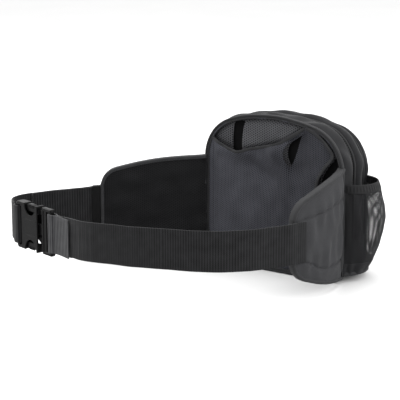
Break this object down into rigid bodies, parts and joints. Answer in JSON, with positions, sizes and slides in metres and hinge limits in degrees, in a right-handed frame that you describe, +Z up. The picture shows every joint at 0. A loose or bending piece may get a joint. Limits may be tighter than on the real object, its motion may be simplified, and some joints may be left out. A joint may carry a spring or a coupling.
{
  "type": "waist pack",
  "caption": "Zipped waist pack with padded hip wings, side bottle pockets and a wide webbing belt closed by a side-release buckle.",
  "frame": {"origin": "centre of the pack body's flat base", "axes": "+Z up, -Y towards the wearer's back, +X to the right as seen from the wearer's side"},
  "size_m": [0.4377, 0.289, 0.203],
  "materials": {
    "shell_fabric": "woven nylon, faint ripstop",
    "panel_fabric": "woven nylon",
    "mesh_fabric": "open knitted mesh",
    "spacer_mesh": "padded spacer mesh",
    "lining_fabric": "thin plain lining",
    "foam": "closed-cell foam",
    "binding_tape": "grosgrain binding",
    "elastic": "ribbed elastic",
    "webbing": "ribbed flat webbing",
    "zip_tape": "coated zip tape",
    "zip_coil": "moulded coil",
    "buckle_plastic": "fine grained moulding",
    "slider_metal": "dark lacquer"
  },
  "bodies": {
    "root": {"back_apron": "mesh_fabric", "back_mesh": "spacer_mesh", "back_foam": "foam", "back_lining": "lining_fabric", "rear_piping": "binding_tape", "rear_gusset": "shell_fabric", "main_zip_tape": "zip_tape", "main_zip_coil": "zip_coil", "middle_gusset": "shell_fabric", "divider_panel": "lining_fabric", "pocket_zip_tape": "zip_tape", "pocket_zip_coil": "zip_coil", "front_gusset": "shell_fabric", "front_panel": "panel_fabric", "front_piping": "binding_tape", "bottom_panel": "shell_fabric", "right_bottle_pocket": "mesh_fabric", "left_bottle_pocket": "mesh_fabric", "right_pocket_band": "elastic", "left_pocket_band": "elastic", "right_webbing": "webbing", "left_webbing": "webbing", "webbing_tail": "webbing", "buckle_socket": "buckle_plastic", "socket_webbing_loop": "webbing"},
    "right_wing": {"right_wing_lining": "spacer_mesh", "right_wing_foam": "foam", "right_wing_cover": "panel_fabric", "right_wing_binding": "binding_tape"},
    "left_wing": {"left_wing_lining": "spacer_mesh", "left_wing_foam": "foam", "left_wing_cover": "panel_fabric", "left_wing_binding": "binding_tape", "webbing_keeper": "elastic"},
    "plug": {"buckle_plug": "buckle_plastic", "plug_webbing_loop": "webbing"},
    "arm_upper": {"buckle_arm_upper": "buckle_plastic"},
    "arm_lower": {"buckle_arm_lower": "buckle_plastic"},
    "main_slider": {"main_slider": "slider_metal"},
    "main_pull": {"main_pull": "slider_metal"},
    "front_slider": {"front_slider": "slider_metal"},
    "front_pull": {"front_pull": "slider_metal"}
  },
  "joints": [
    {"name": "right_wing_flex", "type": "hinge", "parent": "root", "child": "right_wing", "pos_m": [0.101, -0.0455, 0.076], "axis": [0, 0, 1], "range_deg": [-8, 8], "stiffness_Nm_per_rad": 1.2, "deforming": ["right_webbing"]},
    {"name": "left_wing_flex", "type": "hinge", "parent": "root", "child": "left_wing", "pos_m": [-0.1045, -0.046, 0.071], "axis": [0, 0, 1], "range_deg": [-8, 8], "stiffness_Nm_per_rad": 1.2, "deforming": ["left_webbing", "webbing_tail"]},
    {"name": "buckle_release", "type": "slide", "parent": "root", "child": "plug", "axis": [0.9703, -0.2419, 0], "range_m": [0, 0.042], "deforming": ["right_webbing", "buckle_arm_upper", "buckle_arm_lower"]},
    {"name": "arm_press_upper", "type": "hinge", "parent": "plug", "child": "arm_upper", "pos_m": [-0.22812, -0.22585, 0.0835], "axis": [-0.2419, -0.9703, 0], "range_deg": [0, 7], "stiffness_Nm_per_rad": 0.6},
    {"name": "arm_press_lower", "type": "hinge", "parent": "plug", "child": "arm_lower", "pos_m": [-0.22812, -0.22585, 0.0375], "axis": [0.2419, 0.9703, 0], "range_deg": [0, 7], "stiffness_Nm_per_rad": 0.6},
    {"name": "main_slider_travel", "type": "hinge", "parent": "root", "child": "main_slider", "pos_m": [-0.0445, -0.008, 0.13863], "axis": [0, 1, 0], "range_deg": [0, 60]},
    {"name": "main_pull_swing", "type": "hinge", "parent": "main_slider", "child": "main_pull", "pos_m": [-0.1033, -0.008, 0.15432], "axis": [0, 1, 0], "range_deg": [0, 150]},
    {"name": "front_slider_travel", "type": "hinge", "parent": "root", "child": "front_slider", "pos_m": [-0.0425, 0.023, 0.13502], "axis": [0, 1, 0], "range_deg": [0, 60]},
    {"name": "front_pull_swing", "type": "hinge", "parent": "front_slider", "child": "front_pull", "pos_m": [-0.09936, 0.023, 0.15023], "axis": [0, 1, 0], "range_deg": [0, 150]}
  ],
  "couplings": [
    {"joint": "arm_press_lower", "follows": "arm_press_upper", "ratio": 1}
  ]
}
